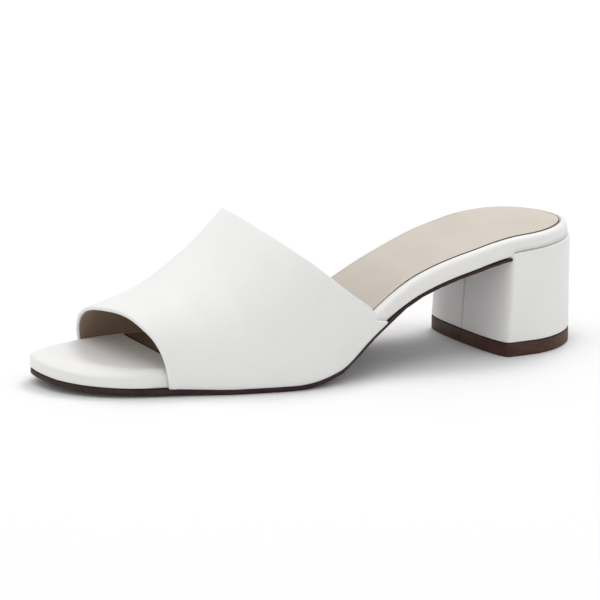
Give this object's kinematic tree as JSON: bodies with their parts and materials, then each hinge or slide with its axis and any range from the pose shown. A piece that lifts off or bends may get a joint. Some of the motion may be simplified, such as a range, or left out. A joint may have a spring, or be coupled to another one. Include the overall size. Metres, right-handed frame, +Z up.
{
  "type": "mule shoe",
  "caption": "Open-toe mule for the left foot with one wide smooth vamp band, a wrapped footbed, a beige sock lining and a covered block heel.",
  "frame": {"origin": "the middle of the shoe's box, at the floor", "axes": "+Z up, the heel points to +Y and the toe to -Y, +X is the lateral side of the left shoe"},
  "size_m": [0.085, 0.2382, 0.0651],
  "materials": {
    "band_leather": "smooth white leather, satin",
    "footbed_cover": "smooth white leather pulled over the padded footbed, satin",
    "sock_lining": "smooth warm beige lining leather, matt",
    "heel_cover": "smooth white leather glued round the heel block, satin",
    "outsole": "dark reddish-brown thin sole, matt with a smooth edge",
    "top_piece": "dark brown firm rubber, satin"
  },
  "bodies": {
    "root": {"outsole": "outsole", "footbed": "footbed_cover", "sock_lining": "sock_lining", "vamp_band": "band_leather", "heel_block": "heel_cover", "heel_top_piece": "top_piece"}
  },
  "joints": []
}
